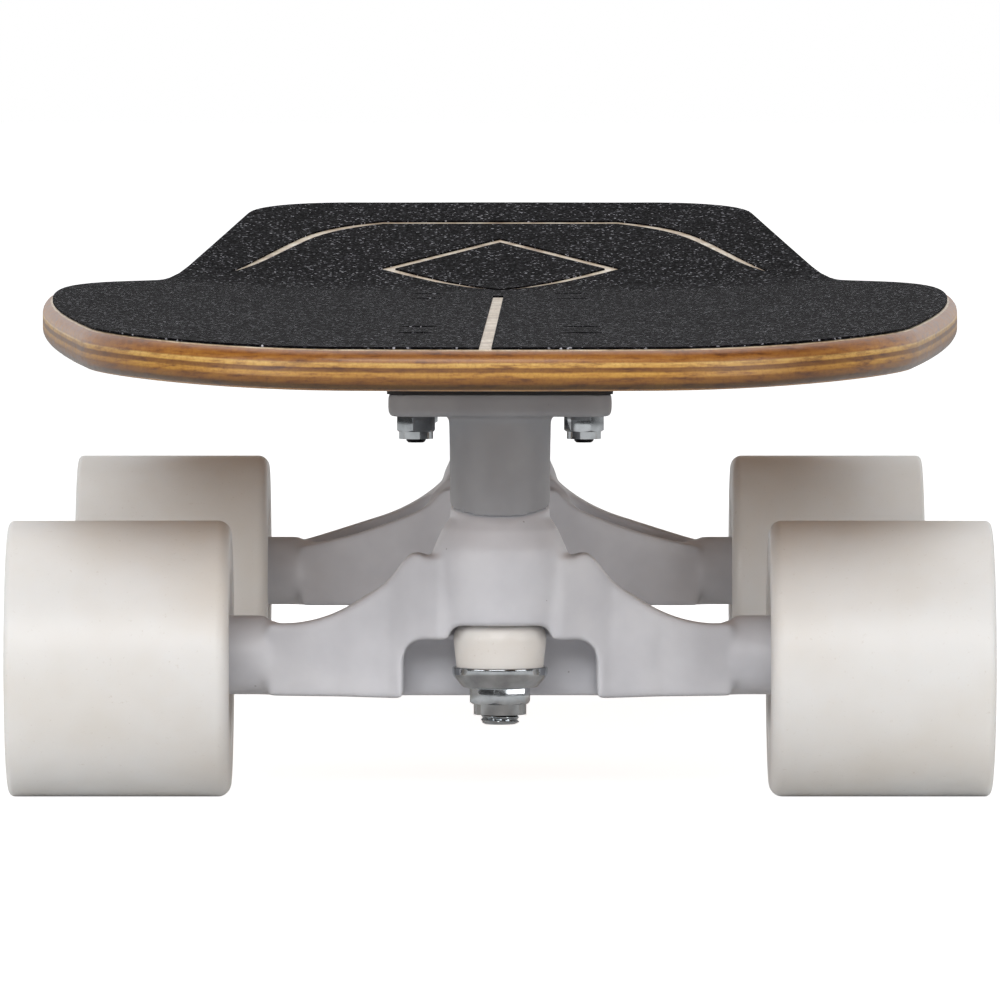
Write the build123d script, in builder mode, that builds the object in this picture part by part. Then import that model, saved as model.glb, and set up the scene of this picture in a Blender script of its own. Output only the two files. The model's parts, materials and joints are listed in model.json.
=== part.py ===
"""Cruising skateboard with two reverse-kingpin trucks, four urethane wheels and sealed ball bearings.

Row frame, in millimetres: +Z up, the nose at -Y and the kicked tail at +Y, X across the deck.
The origin is on the floor under the middle of the deck. A truck is modelled once in its own frame, with the
middle of its axle at the origin and the end of the deck towards -Y, and is then placed at nose and tail.
"""

import math
import os

from build123d import *

os.makedirs("parts", exist_ok=True)

# ---------------------------------------------------------------- driving dimensions
# Board
deck_length = 840.0
wheelbase = 450.0
nose_overhang = 147.0  # from the front axle to the tip of the nose
deck_thickness = 9.8
deck_half_width = 121.0
widest_y = -20.0  # where the plan is widest
front_side_radius = 2600.0  # the plan's sides, ends and corners
rear_side_radius = 1400.0
rear_taper = 7.5  # of the straight sides behind it, from the middle line
nose_radius = 179.0
nose_corner_radius = 80.0
tail_radius = 1400.0
tail_corner_radius = 38.0
rail_flat = 35.0  # half width of the flat middle of the concave
rail_radius = 640.0  # the concave's rise towards the rails
rim_fillet = 3.2
kick_start_gap = 38.0  # from the rear axle to where the tail starts to rise
kick_radius = 420.0
kick_angle = 7.6
riser_thickness = 4.0
riser_margin = 0.3  # the riser pad's edge beyond the baseplate's

# Grip tape and the bare lines cut in it
grip_thickness = 0.5
grip_inset = 2.6
stripe_width = 3.0
stripe_start_x = -3.5
stripe_end = (-0.5, 150.0)
diamond_length = 120.0
diamond_width = 72.0
diamond_line = 4.2
diamond_y = 283.0
# the arch's middle line, and the half widths of its bare line across and along the deck
arch_points = (
    (79.8, 265.6, 0.3, 0.0),
    (70.6, 295.8, 1.4, 0.3),
    (61.3, 331.9, 1.5, 0.8),
    (51.7, 357.8, 1.4, 2.0),
    (35.7, 375.7, 0.0, 3.0),
)

# Wheels, axles and bearings
wheel_radius = 34.0
wheel_width = 54.8
wheel_inner_lip = 3.2
wheel_outer_lip = 1.5
wheel_inner_face = 66.3  # from the middle of the truck
recess_flare = 5.0  # the recess's mouth beyond the core
core_radius = 17.0
core_bore = 7.5
axle_radius = 4.0
bearing_radius = 11.0
bearing_width = 7.0
bearing_depth = 10.0  # from the wheel's inner face to the first bearing
spacer_length = 10.0
spacer_wall = 1.2
ball_radius = 1.98
ball_pitch_radius = 7.6
ball_count = 7
inner_ring_radius = 6.2
outer_ring_bore = 9.0
shield_thickness = 0.3
shield_recess = 0.35
cage_back = 0.4  # behind the balls' middle
cage_inner_gap = 0.1  # from the cage to the shields' bore
cage_outer_gap = 0.3
speed_washer_thickness = 1.0
axle_nut_flats = 12.7
axle_nut_hex = 3.6
axle_nut_collar = 2.0
axle_nut_shoulder = 0.7
axle_chamfer = 0.7
axle_tail = 2.0  # thread standing out of the axle nut

# Trucks, with heights over the axle line
plate_bottom = 60.7
plate_thickness = 5.5
plate_corner = 5.0
plate_round = 0.9  # along its lower edge
plate_margin_side = 6.6  # from the deck bolts to the plate's edges
plate_margin_back = 11.5
plate_margin_front = 2.6  # from the post to the plate's end
bolt_spacing_x = 41.3
bolt_spacing_y = 63.5
bolt_row_offset = -5.0  # the outer row of deck bolts, from the axle line
bolt_radius = 2.4
bolt_head_radius = 4.75
bolt_socket_flats = 3.2
bolt_socket_depth = 2.4
deck_nut_flats = 8.6
deck_nut_hex = 4.5
deck_nut_collar = 1.8
deck_nut_shoulder = 0.1  # the round collar's edge inside the flats
bolt_turns = (20.0, 0.0, 50.0, 35.0)  # how far each bolt and nut is turned
bolt_tail = 0.9  # thread standing out of the deck nut
bolt_chamfer = 0.5
bolt_sink = 0.3  # from the head to the grip tape's face
kingpin_offset = -21.0  # from the axle line, towards the end of the deck
kingpin_radius = 4.75
kingpin_head_radius = 7.6
kingpin_head_height = 4.6
kingpin_end = -14.9
corner_slope = 60.0  # of the turned corners of every nut, from its axis
kingpin_nut_flats = 13.6
kingpin_nut_hex = 4.1
kingpin_nut_collar = 2.6
kingpin_nut_shoulder = 0.35
kingpin_nut_turn = 20.0
kingpin_chamfer = 0.9
pivot_height = 13.0  # where the pivot axis crosses the kingpin
pivot_angle = 39.0  # of the pivot axis over the horizontal
pivot_reach = 60.0  # from the kingpin to the ball at the pivot's tip
pivot_tip_radius = 6.3
pivot_root_radius = 8.5
pivot_shoulder = 8.0  # from the ball's centre back to the end of the thick part
pivot_taper = 0.6  # how much thinner the thick part gets
pivot_bevel = 1.6
cup_wall = 2.6
cup_bevel = 3.0
cup_lip = 5.6  # from the ball's centre back to the cup's mouth
housing_wall = 3.0
post_radius = 12.5
post_draft = 0.5  # how much narrower the post is at its foot
collar_radius = 12.1  # the hanger's neck, where it meets the post
collar_height = 35.5  # at the front of the neck
collar_offset = 6.0  # from the kingpin to the centre of the neck's dome, along the pivot axis
collar_gap = 0.45
neck_wall = 2.4
neck_points = ((0.0, 0.0), (1.4, 16.5), (1.4, 22.0), (-0.9, 27.0))  # the neck's flare, from the ring's foot
ring_top = 17.0
ring_bottom = 9.7
ring_wall = 3.0
kingpin_swing_gap = 1.8  # around the kingpin in the hanger's ring
shelf_bottom = 6.0
bushing_radius = 11.4
bushing_foot_radius = 10.3
bushing_round = 1.0
bushing_head_round = 2.6
bushing_seat_gap = 0.6
seat_mouth_margin = 0.5  # the opening at the front of the bushing's seat, beyond the seat
seat_mouth_corner = 3.2
upper_bushing_foot_radius = 9.4
upper_bushing_head_radius = 7.2
washer_thickness = 1.6
washer_lip = 3.4
washer_wall = 0.9
washer_play = 0.5  # around the foot of the bushing
washer_round = 3.2  # the bowl's outer corner
washer_inner_round = 1.3
washer_foot = -5.8
tube_radius = 9.0
boss_radius = 9.8
boss_rise = 0.9  # the boss's centre over the axle line
boss_start = 57.5
boss_end = 71.0
hanger_nose_radius = 7.2
wing_plan = ((40.0, -12.5), (27.0, -19.5), (15.0, -30.0), (0.0, -33.0))  # the wing's front edge
front_crest = ((18.2, 26.2), (20.4, 27.3), (23.0, 25.7), (26.0, 21.8), (31.8, 16.8), (40.0, 12.0), (56.0, 9.2))
hanger_belly = 8.8  # from the axle line down to the wing's flat underside
front_wall = ((16.0, 26.9), (23.2, 21.6), (30.4, 17.4), (42.0, 12.6), (57.5, 9.2))  # behind the crest's lug
front_wall_start = -14.0
front_rim = ((16.0, 24.0), (23.2, 19.0), (30.4, 14.8), (42.0, 10.2), (57.5, 7.2))  # the pivot side's lower rim
rear_crest = ((15.0, 27.8), (21.2, 22.4), (26.0, 19.6), (30.9, 17.4), (38.5, 15.0), (48.2, 12.0), (56.0, 9.7))
rear_rim = ((13.0, 24.4), (16.4, 24.2), (19.2, 21.5), (22.1, 19.2), (26.4, 17.2), (40.7, 12.1), (57.5, 8.4))
recess_half_width = 23.6
recess_corner = 5.0
recess_wall_gap = 1.8  # from the cup washer to the hanger's wall
pocket_start = 19.0
pocket_end = 55.0
pocket_half_width = 4.6
pocket_floor = 7.6
pocket_corner = 3.6

# Clearances
running = 0.07
press = 0.01
loose = 0.2

# ---------------------------------------------------------------- places worked out from them
nose_tip = -deck_length / 2
front_axle_y = nose_tip + nose_overhang
rear_axle_y = front_axle_y + wheelbase
plate_top = plate_bottom + plate_thickness
riser_top = plate_top + riser_thickness
deck_bottom = wheel_radius + riser_top
deck_top = deck_bottom + deck_thickness
kick_start = rear_axle_y + kick_start_gap
truck_places = {
    "front": Location((0, front_axle_y, wheel_radius)),
    "rear": Location((0, rear_axle_y, wheel_radius), (0, 0, 180)),
}
plate_half_width = bolt_spacing_x / 2 + plate_margin_side
plate_front = kingpin_offset - post_radius - plate_margin_front
plate_back = bolt_row_offset + bolt_spacing_y + plate_margin_back
plate_centre = (plate_front + plate_back) / 2
bolt_centre = bolt_row_offset + bolt_spacing_y / 2
pivot_centre = Vector(0, kingpin_offset, pivot_height)
pivot_direction = Vector(0, math.cos(math.radians(pivot_angle)), math.sin(math.radians(pivot_angle)))
pivot_section = Plane(origin=pivot_centre, x_dir=(1, 0, 0), z_dir=(0, -pivot_direction.Z, pivot_direction.Y))
kingpin_section = Plane(origin=(0, kingpin_offset, 0), x_dir=(1, 0, 0), z_dir=(0, -1, 0))
kingpin_axis = Axis((0, kingpin_offset, 0), (0, 0, 1))
pivot_axis = Axis(pivot_centre, pivot_direction)
collar_centre = pivot_centre + pivot_direction * collar_offset
collar_sphere = math.hypot(
    collar_radius + collar_centre.Y - kingpin_offset,
    collar_height - collar_centre.Z,
)
bushing_seat = bushing_radius + bushing_seat_gap
washer_radius = bushing_foot_radius + washer_play + washer_wall
cup_radius = pivot_tip_radius + running + cup_wall
housing_radius = cup_radius + housing_wall
hanger_face = wheel_inner_face + bearing_depth - speed_washer_thickness
bearing_starts = (bearing_depth, bearing_depth + bearing_width + spacer_length)
core_end = bearing_starts[1] + bearing_width
axle_nut_seat = core_end + speed_washer_thickness
axle_end = wheel_inner_face + axle_nut_seat + axle_nut_hex + axle_nut_collar + axle_tail
recess_wall = kingpin_offset + washer_radius + recess_wall_gap


def write(builder, name, place=Location()):
    """Put a finished piece in its place, label it with its node's name and write its STEP file."""
    builder.part.label = name
    export_step(builder.part.moved(place), f"parts/{name}.step")


# ---------------------------------------------------------------- deck and grip tape
tail_plane = Plane(
    origin=(
        0,
        kick_start + kick_radius * math.sin(math.radians(kick_angle)),
        deck_top + kick_radius * (1 - math.cos(math.radians(kick_angle))),
    ),
    x_dir=(1, 0, 0),
    z_dir=(0, -math.cos(math.radians(kick_angle)), -math.sin(math.radians(kick_angle))),
)
flat_plane = Plane(origin=(0, kick_start, deck_top), x_dir=(1, 0, 0), z_dir=(0, -1, 0))
blank_half_width = deck_half_width + 8.0
rail_sweep = math.degrees(math.asin((blank_half_width - rail_flat) / rail_radius))


def concave_lines(low, high):
    """Draw the bent sheet's cross-section between two heights over the deck's top face."""
    for side in (1, -1):
        centre = (side * rail_flat, rail_radius)
        upper = CenterArc(centre, rail_radius - high, -90, side * rail_sweep)
        lower = CenterArc(centre, rail_radius - low, -90, side * rail_sweep)
        Line(upper @ 1, lower @ 1)
    Line((-rail_flat, high), (rail_flat, high))
    Line((-rail_flat, low), (rail_flat, low))


def bent_sheet(low, high):
    """Sheet with the deck's concave and kick, wider and longer than the deck, between two heights."""
    with BuildPart() as sheet:
        with BuildSketch(flat_plane):
            with BuildLine():
                concave_lines(low, high)
            make_face()
        extrude(amount=kick_start - nose_tip + 10)
        with BuildSketch(flat_plane):
            with BuildLine():
                concave_lines(low, high)
            make_face()
        revolve(axis=Axis((0, kick_start, deck_top + kick_radius), (1, 0, 0)), revolution_arc=kick_angle)
        with BuildSketch(tail_plane):
            with BuildLine():
                concave_lines(low, high)
            make_face()
        extrude(amount=-(deck_length / 2 - kick_start))
    return sheet.part


def side_arcs(centre, start, finish):
    """Draw an arc about a centre, the short way round, and its mirror image on the deck's other side."""
    middle = centre + (start + finish - centre * 2).normalized() * (start - centre).length
    for side in (1, -1):
        ThreePointArc(*((side * point.X, point.Y) for point in (start, middle, finish)))


def nose_corner_centre(side_centre, side_radius, end_centre, end_radius, corner_radius):
    """Centre of the arc that touches the side's arc and the nose's arc from inside both."""
    link = end_centre - side_centre
    to_side = side_radius - corner_radius
    to_end = end_radius - corner_radius
    along = (to_side**2 - to_end**2 + link.length**2) / (2 * link.length)
    across = math.sqrt(to_side**2 - along**2)
    direction = link.normalized()
    square = Vector(-direction.Y, direction.X) * across
    foot = side_centre + direction * along
    return min((foot + square, foot - square), key=lambda point: point.Y)


def draw_nose(shoulder, inset):
    """Draw the plan's front half, moved inwards by an inset, from its widest point."""
    side_radius = front_side_radius - inset
    end_radius = nose_radius - inset
    corner_radius = nose_corner_radius - inset
    side_centre = shoulder - Vector(side_radius, 0)
    end_centre = Vector(0, nose_tip + nose_radius)
    corner = nose_corner_centre(side_centre, side_radius, end_centre, end_radius, corner_radius)
    on_side = side_centre + (corner - side_centre).normalized() * side_radius
    on_end = end_centre + (corner - end_centre).normalized() * end_radius
    side_arcs(side_centre, shoulder, on_side)
    side_arcs(corner, on_side, on_end)
    ThreePointArc(on_end, end_centre - Vector(0, end_radius), (-on_end.X, on_end.Y))


def draw_tail(shoulder, inset):
    """Draw the plan's back half, moved inwards by an inset, from its widest point."""
    side_radius = rear_side_radius - inset
    end_radius = tail_radius - inset
    corner_radius = tail_corner_radius - inset
    side_centre = shoulder - Vector(side_radius, 0)
    end_centre = Vector(0, deck_length / 2 - tail_radius)
    square = Vector(math.cos(math.radians(rear_taper)), math.sin(math.radians(rear_taper)))
    along = Vector(-square.Y, square.X)
    taper_start = side_centre + square * side_radius
    link = taper_start - square * corner_radius - end_centre
    back = link.dot(along)
    corner = end_centre + link + along * (
        math.sqrt(back**2 - link.length**2 + (end_radius - corner_radius) ** 2) - back
    )
    taper_end = corner + square * corner_radius
    on_end = end_centre + (corner - end_centre).normalized() * end_radius
    side_arcs(side_centre, shoulder, taper_start)
    for side in (1, -1):
        Line((side * taper_start.X, taper_start.Y), (side * taper_end.X, taper_end.Y))
    side_arcs(corner, taper_end, on_end)
    ThreePointArc(on_end, end_centre + Vector(0, end_radius), (-on_end.X, on_end.Y))


def draw_outline(inset=0.0):
    """Draw the deck's plan, moved inwards by an inset, in the current BuildLine."""
    shoulder = Vector(deck_half_width - inset, widest_y)
    draw_nose(shoulder, inset)
    draw_tail(shoulder, inset)


with BuildPart() as deck:
    add(bent_sheet(-deck_thickness, 0))
    with BuildSketch():
        with BuildLine():
            draw_outline()
        make_face()
    extrude(amount=2 * deck_top, mode=Mode.INTERSECT)
    walls = deck.faces().filter_by(lambda face: abs(face.normal_at().Z) < 0.1)
    fillet(walls.edges().filter_by(Axis.Z, reverse=True), rim_fillet)
    for place in truck_places.values():
        with Locations(place):
            with Locations((0, bolt_centre, deck_top - wheel_radius)):
                with GridLocations(bolt_spacing_x, bolt_spacing_y, 2, 2):
                    CounterSinkHole(bolt_radius + loose, bolt_head_radius + loose, deck_thickness + 1, 90)
write(deck, "deck")


def draw_diamond(length, width):
    """Draw a diamond about the middle of the tail's emblem in the current sketch."""
    with Locations((0, diamond_y)):
        Polygon((0, -length / 2), (width / 2, 0), (0, length / 2), (-width / 2, 0))


with BuildPart() as griptape:
    add(bent_sheet(0, grip_thickness))
    with BuildSketch():
        with BuildLine():
            draw_outline(grip_inset)
        make_face()
    extrude(amount=2 * deck_top, mode=Mode.INTERSECT)
    with BuildSketch() as bare_lines:
        draw_diamond(diamond_length, diamond_width)
        with BuildLine() as stripe:
            Line((stripe_start_x, nose_tip), stripe_end)
        trace(line_width=stripe_width)
        with BuildLine() as arch:
            for edge in (1, -1):
                for side in (1, -1):
                    Spline(*((side * (x + edge * across), y + edge * along) for x, y, across, along in arch_points))
                x, y, across, along = arch_points[-1]
                Line((x + edge * across, y + edge * along), (-x - edge * across, y + edge * along))
            for side in (1, -1):
                x, y, across, along = arch_points[0]
                Line((side * (x + across), y + along), (side * (x - across), y - along))
        make_face()
        for place in truck_places.values():
            with Locations(place):
                with Locations((0, bolt_centre)):
                    with GridLocations(bolt_spacing_x, bolt_spacing_y, 2, 2):
                        Circle(bolt_head_radius + loose)
    extrude(amount=2 * deck_top, mode=Mode.SUBTRACT)
write(griptape, "griptape")

with BuildPart() as griptape_diamond:
    add(bent_sheet(0, grip_thickness))
    line_share = diamond_line * math.hypot(diamond_length, diamond_width)
    with BuildSketch():
        draw_diamond(
            diamond_length - 2 * line_share / diamond_width,
            diamond_width - 2 * line_share / diamond_length,
        )
    extrude(amount=2 * deck_top, mode=Mode.INTERSECT)
write(griptape_diamond, "griptape_diamond")

# ---------------------------------------------------------------- truck pieces fixed to the deck
with BuildPart() as riser_pad:
    with BuildSketch(Plane.XY.offset(plate_top)):
        with Locations((0, plate_centre)):
            RectangleRounded(
                2 * (plate_half_width + riser_margin),
                plate_back - plate_front + 2 * riser_margin,
                plate_corner + riser_margin,
            )
        with Locations((0, bolt_centre)):
            with GridLocations(bolt_spacing_x, bolt_spacing_y, 2, 2):
                Circle(bolt_radius + loose, mode=Mode.SUBTRACT)
    extrude(amount=riser_thickness)

with BuildPart() as baseplate:
    with BuildSketch(Plane.XY.offset(plate_bottom)):
        with Locations((0, plate_centre)):
            RectangleRounded(2 * plate_half_width, plate_back - plate_front, plate_corner)
    extrude(amount=plate_thickness)
    fillet(baseplate.faces().sort_by(Axis.Z)[0].edges(), plate_round)
    with BuildSketch(kingpin_section):
        with BuildLine():
            Polyline(
                (0, pivot_height + collar_radius),
                (post_radius - post_draft, pivot_height + collar_radius),
                (post_radius, plate_bottom + plate_round),
                (0, plate_bottom + plate_round),
                close=True,
            )
        make_face()
    revolve(axis=kingpin_axis)
    with BuildSketch(pivot_section):
        with Locations((0, 3 * pivot_reach / 2 - cup_lip)):
            Rectangle(2 * housing_radius, pivot_reach)
        split(bisect_by=Plane.YZ)
    revolve(axis=pivot_axis)
    with BuildSketch(Plane.XY.offset(plate_top)):
        Rectangle(2 * wheelbase, 2 * wheelbase)
    extrude(amount=2 * pivot_reach, mode=Mode.SUBTRACT)
    with Locations(collar_centre):
        Sphere(collar_sphere + collar_gap, mode=Mode.SUBTRACT)
    with BuildSketch(kingpin_section):
        with BuildLine():
            Polyline(
                (0, 0),
                (kingpin_radius + press, 0),
                (kingpin_radius + press, plate_top - kingpin_head_height - loose),
                (kingpin_head_radius + loose, plate_top - kingpin_head_height - loose),
                (kingpin_head_radius + loose, 2 * plate_top),
                (0, 2 * plate_top),
                close=True,
            )
        make_face()
    revolve(axis=kingpin_axis, mode=Mode.SUBTRACT)
    with BuildSketch(pivot_section):
        with BuildLine():
            cup_end = pivot_reach + pivot_tip_radius + running + cup_wall
            Polyline(
                (0, pivot_reach - 2 * cup_lip),
                (cup_radius + press, pivot_reach - 2 * cup_lip),
                (cup_radius + press, cup_end - cup_bevel),
                (cup_radius + press - cup_bevel, cup_end + press),
                (0, cup_end + press),
                close=True,
            )
        make_face()
    revolve(axis=pivot_axis, mode=Mode.SUBTRACT)
    with Locations((0, bolt_centre, plate_top)):
        with GridLocations(bolt_spacing_x, bolt_spacing_y, 2, 2):
            Hole(bolt_radius + loose, 2 * plate_thickness)

with BuildPart() as pivot_cup:
    with BuildSketch(pivot_section):
        with BuildLine():
            Polyline(
                (0, pivot_reach - cup_lip),
                (cup_radius, pivot_reach - cup_lip),
                (cup_radius, cup_end - cup_bevel),
                (cup_radius - cup_bevel, cup_end),
                (0, cup_end),
                close=True,
            )
        make_face()
        with Locations((0, pivot_reach)):
            Circle(pivot_tip_radius + running, mode=Mode.SUBTRACT)
        with Locations((0, pivot_reach - cup_lip / 2)):
            Rectangle(2 * (pivot_tip_radius + running), cup_lip, mode=Mode.SUBTRACT)
        split(bisect_by=Plane.YZ)
    revolve(axis=pivot_axis)

with BuildPart() as kingpin:
    with Locations((0, kingpin_offset, plate_top - kingpin_head_height)):
        Cylinder(kingpin_head_radius, kingpin_head_height - loose, align=(Align.CENTER, Align.CENTER, Align.MIN))
    with Locations((0, kingpin_offset, kingpin_end)):
        shank = plate_top - kingpin_head_height - kingpin_end
        Cylinder(kingpin_radius, shank, align=(Align.CENTER, Align.CENTER, Align.MIN))
    chamfer(kingpin.edges().sort_by(Axis.Z)[0], kingpin_chamfer)


def nut(plane, flats, hex_height, collar_height, shoulder, bore):
    """Lock nut standing on a plane: a hexagon with its outer corners turned off, and a round collar."""
    with BuildPart() as piece:
        with BuildSketch(plane):
            RegularPolygon(flats / 2, 6, major_radius=False)
        extrude(amount=hex_height)
        with BuildSketch(plane):
            Circle(flats / 2 + hex_height * math.tan(math.radians(corner_slope)))
        extrude(amount=hex_height, taper=corner_slope, mode=Mode.INTERSECT)
        with BuildSketch(plane.offset(hex_height)):
            Circle(flats / 2 - shoulder)
        extrude(amount=collar_height)
        with BuildSketch(plane):
            Circle(bore)
        extrude(amount=hex_height + collar_height, mode=Mode.SUBTRACT)
    return piece.part


def copies(piece, places):
    """Copies of a piece at several places, as one set of separate solids."""
    with BuildPart() as gathered:
        with Locations(*places):
            add(piece)
    return gathered


corners = [(sx * bolt_spacing_x / 2, bolt_centre + sy * bolt_spacing_y / 2, 0) for sx in (-1, 1) for sy in (-1, 1)]
bolt_places = [Location(corner, (0, 0, turn)) for corner, turn in zip(corners, bolt_turns)]
kingpin_nut_seat = Plane(origin=(0, kingpin_offset, washer_foot), z_dir=(0, 0, -1)).rotated((0, 0, kingpin_nut_turn))
with BuildPart() as kingpin_nut:
    add(
        nut(
            kingpin_nut_seat,
            kingpin_nut_flats,
            kingpin_nut_hex,
            kingpin_nut_collar,
            kingpin_nut_shoulder,
            kingpin_radius + press,
        )
    )

deck_nut_seat = Plane(origin=(0, 0, plate_bottom), z_dir=(0, 0, -1))
deck_nut = nut(
    deck_nut_seat,
    deck_nut_flats,
    deck_nut_hex,
    deck_nut_collar,
    deck_nut_shoulder,
    bolt_radius + press,
)
deck_nuts = copies(deck_nut, bolt_places)

bolt_end = plate_bottom - deck_nut_hex - deck_nut_collar - bolt_tail
bolt_seat = riser_top + deck_thickness
with BuildPart() as deck_bolt:
    with BuildSketch(Plane.XZ):
        with BuildLine():
            Polyline(
                (0, bolt_end),
                (bolt_radius - bolt_chamfer, bolt_end),
                (bolt_radius, bolt_end + bolt_chamfer),
                (bolt_radius, bolt_seat - bolt_head_radius + bolt_radius),
                (bolt_head_radius, bolt_seat),
                (bolt_head_radius, bolt_seat + grip_thickness - bolt_sink),
                (0, bolt_seat + grip_thickness - bolt_sink),
                close=True,
            )
        make_face()
    revolve(axis=Axis.Z)
    with BuildSketch(Plane.XY.offset(bolt_seat + grip_thickness)):
        RegularPolygon(bolt_socket_flats / 2, 6, major_radius=False)
    extrude(amount=-bolt_socket_depth, mode=Mode.SUBTRACT)
deck_bolts = copies(deck_bolt.part, bolt_places)


def turned(points, axis_plane=kingpin_section, axis=kingpin_axis):
    """Solid of revolution from an outline of (radius, height) points."""
    with BuildPart() as piece:
        with BuildSketch(axis_plane):
            with BuildLine():
                Polyline(*points, close=True)
            make_face()
        revolve(axis=axis)
    return piece


bush_bore = kingpin_radius + loose
upper_bushing_end = collar_centre.Z + collar_sphere
upper_bushing_blank = turned(
    (
        (bush_bore, ring_top),
        (upper_bushing_foot_radius - bushing_round, ring_top),
        (upper_bushing_foot_radius, ring_top + bushing_round),
        (upper_bushing_head_radius, collar_height),
        (upper_bushing_head_radius, 2 * upper_bushing_end),
        (bush_bore, 2 * upper_bushing_end),
    )
)
with BuildPart() as upper_bushing:
    add(upper_bushing_blank.part)
    with Locations(collar_centre):
        Sphere(collar_sphere + collar_gap, mode=Mode.INTERSECT)
bushing_head = ring_bottom - running
bushing_foot = washer_foot + washer_thickness
lower_bushing = turned(
    (
        (bush_bore, bushing_foot),
        (bushing_foot_radius - bushing_round, bushing_foot),
        (bushing_foot_radius, bushing_foot + bushing_round),
        (bushing_radius, bushing_head - bushing_head_round),
        (bushing_radius - 0.3 * bushing_head_round, bushing_head - 0.3 * bushing_head_round),
        (bushing_radius - bushing_head_round, bushing_head),
        (bush_bore, bushing_head),
    )
)
lower_washer = turned(
    (
        (kingpin_radius + press, washer_foot),
        (washer_radius - washer_round, washer_foot),
        (washer_radius - 0.4 * washer_round, washer_foot + 0.4 * washer_round),
        (washer_radius, washer_foot + washer_round),
        (washer_radius, washer_foot + washer_thickness + washer_lip),
        (washer_radius - washer_wall, washer_foot + washer_thickness + washer_lip),
        (washer_radius - washer_wall, washer_foot + washer_round),
        (washer_radius - washer_wall - washer_inner_round, bushing_foot),
        (kingpin_radius + press, bushing_foot),
    )
)

# ---------------------------------------------------------------- hanger, the piece that leans
ring_radius = bushing_seat + ring_wall
with BuildPart() as neck:
    with BuildSketch(kingpin_section):
        with BuildLine():
            Polyline(
                (0, shelf_bottom),
                *((ring_radius + out, shelf_bottom + up) for out, up in neck_points),
                (collar_radius, collar_height + collar_gap),
                (collar_radius, collar_height + collar_radius),
                (0, collar_height + collar_radius),
                close=True,
            )
        make_face()
    revolve(axis=kingpin_axis)
    with Locations(collar_centre):
        Sphere(collar_sphere, mode=Mode.INTERSECT)


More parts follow.
